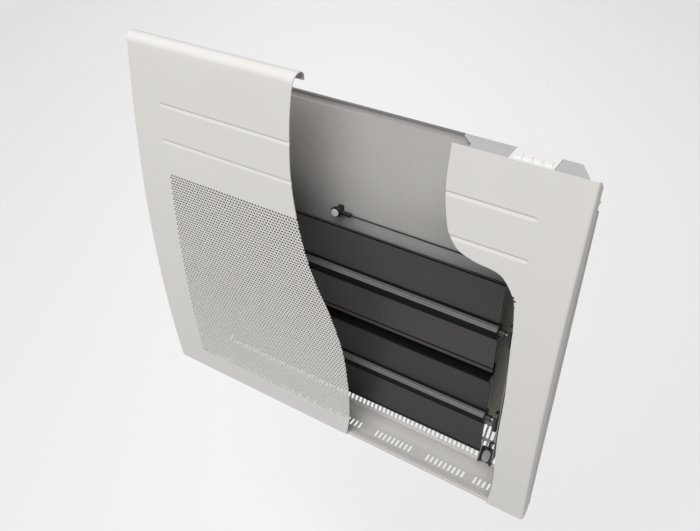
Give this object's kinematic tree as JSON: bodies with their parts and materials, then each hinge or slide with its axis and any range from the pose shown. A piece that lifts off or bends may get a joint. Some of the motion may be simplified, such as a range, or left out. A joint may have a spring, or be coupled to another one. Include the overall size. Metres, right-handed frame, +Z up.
{
  "type": "electric radiator",
  "caption": "Wall-hung electric radiant panel heater, its perforated front cut away to show finned plates, limiter, room sensor, control box and wall bracket.",
  "frame": {"origin": "middle of the wall bracket's rear face, in the plane of the wall", "axes": "+X to the right as the user faces the heater, +Y into the wall, +Z up; the front faces -Y"},
  "size_m": [0.502, 0.106, 0.4577],
  "materials": {
    "front_enamel": "satin powder coat, warm light grey",
    "casing_steel": "satin grey coated sheet steel",
    "grille_enamel": "satin light grey coat",
    "anodised_plate": "black anodised extrusion",
    "element_steel": "drawn steel sheath",
    "ceramic": "dark ceramic",
    "black_plastic": "moulded black",
    "limiter_metal": "bare pressed cap",
    "wire_silicone": "silicone insulation",
    "sensor_plastic": "ribbed light grey",
    "box_plastic": "moulded bluish grey",
    "white_plastic": "moulded white",
    "window_plastic": "smoked window",
    "board": "solder resist",
    "bracket_steel": "zinc plated",
    "brass": "turned"
  },
  "bodies": {
    "heater": {"front_panel_left": "front_enamel", "front_panel_right": "front_enamel", "back_panel": "casing_steel", "side_panel_left": "casing_steel", "side_panel_right": "casing_steel", "bottom_grille": "grille_enamel", "upper_radiant_plate": "anodised_plate", "lower_radiant_plate": "anodised_plate", "centre_rail": "anodised_plate", "upper_element": "element_steel", "lower_element": "element_steel", "insulator_upper_left": "ceramic", "insulator_upper_right": "ceramic", "insulator_lower_left": "ceramic", "insulator_lower_right": "ceramic", "bush_upper_left": "black_plastic", "bush_upper_right": "black_plastic", "bush_lower_left": "black_plastic", "bush_lower_right": "black_plastic", "side_bracket_left": "casing_steel", "side_bracket_right": "casing_steel", "limiter_cap": "limiter_metal", "limiter_body": "black_plastic", "limiter_holder": "black_plastic", "limiter_sleeve": "black_plastic", "limiter_lead": "wire_silicone", "sensor_holder": "black_plastic", "sensor_probe": "sensor_plastic", "sensor_lead": "wire_silicone", "control_box_body": "box_plastic", "control_box_cover": "box_plastic", "keypad_fascia": "white_plastic", "display_window": "window_plastic", "circuit_board": "board", "relay": "black_plastic", "terminal_block": "white_plastic", "rocker_housing": "black_plastic", "cable_gland": "black_plastic", "upper_lead": "wire_silicone", "lower_lead": "wire_silicone", "link_lead": "wire_silicone", "wall_bracket": "bracket_steel", "casing_screw_left_1": "bracket_steel", "casing_screw_left_2": "bracket_steel", "casing_screw_left_3": "bracket_steel", "casing_screw_right_1": "bracket_steel", "casing_screw_right_2": "bracket_steel", "casing_screw_right_3": "bracket_steel", "front_panel_screw_1": "bracket_steel", "front_panel_screw_2": "bracket_steel", "front_panel_screw_3": "bracket_steel", "earth_stud": "brass"},
    "key_minus": {"key_minus": "white_plastic"},
    "key_plus": {"key_plus": "white_plastic"},
    "key_mode": {"key_mode": "white_plastic"},
    "key_confirm": {"key_confirm": "white_plastic"},
    "power_rocker": {"power_rocker": "black_plastic"},
    "lock_left": {"lock_left": "white_plastic"},
    "lock_right": {"lock_right": "white_plastic"}
  },
  "joints": [
    {"name": "key_minus_press", "type": "slide", "parent": "heater", "child": "key_minus", "axis": [0, 0, -1], "range_m": [0, 0.0008], "stiffness_N_per_m": 500},
    {"name": "key_plus_press", "type": "slide", "parent": "heater", "child": "key_plus", "axis": [0, 0, -1], "range_m": [0, 0.0008], "stiffness_N_per_m": 500},
    {"name": "key_mode_press", "type": "slide", "parent": "heater", "child": "key_mode", "axis": [0, 0, -1], "range_m": [0, 0.0008], "stiffness_N_per_m": 500},
    {"name": "key_confirm_press", "type": "slide", "parent": "heater", "child": "key_confirm", "axis": [0, 0, -1], "range_m": [0, 0.0008], "stiffness_N_per_m": 500},
    {"name": "power_rocker_tilt", "type": "hinge", "parent": "heater", "child": "power_rocker", "pos_m": [0.218, -0.06, 0.1825], "axis": [-1, 0, 0], "range_deg": [0, 14]},
    {"name": "lock_left_turn", "type": "hinge", "parent": "heater", "child": "lock_left", "pos_m": [-0.11, -0.0088, 0.151], "axis": [0, 0, 1], "range_deg": [0, 90]},
    {"name": "lock_right_turn", "type": "hinge", "parent": "heater", "child": "lock_right", "pos_m": [0.11, -0.0088, 0.151], "axis": [0, 0, -1], "range_deg": [0, 90]}
  ]
}
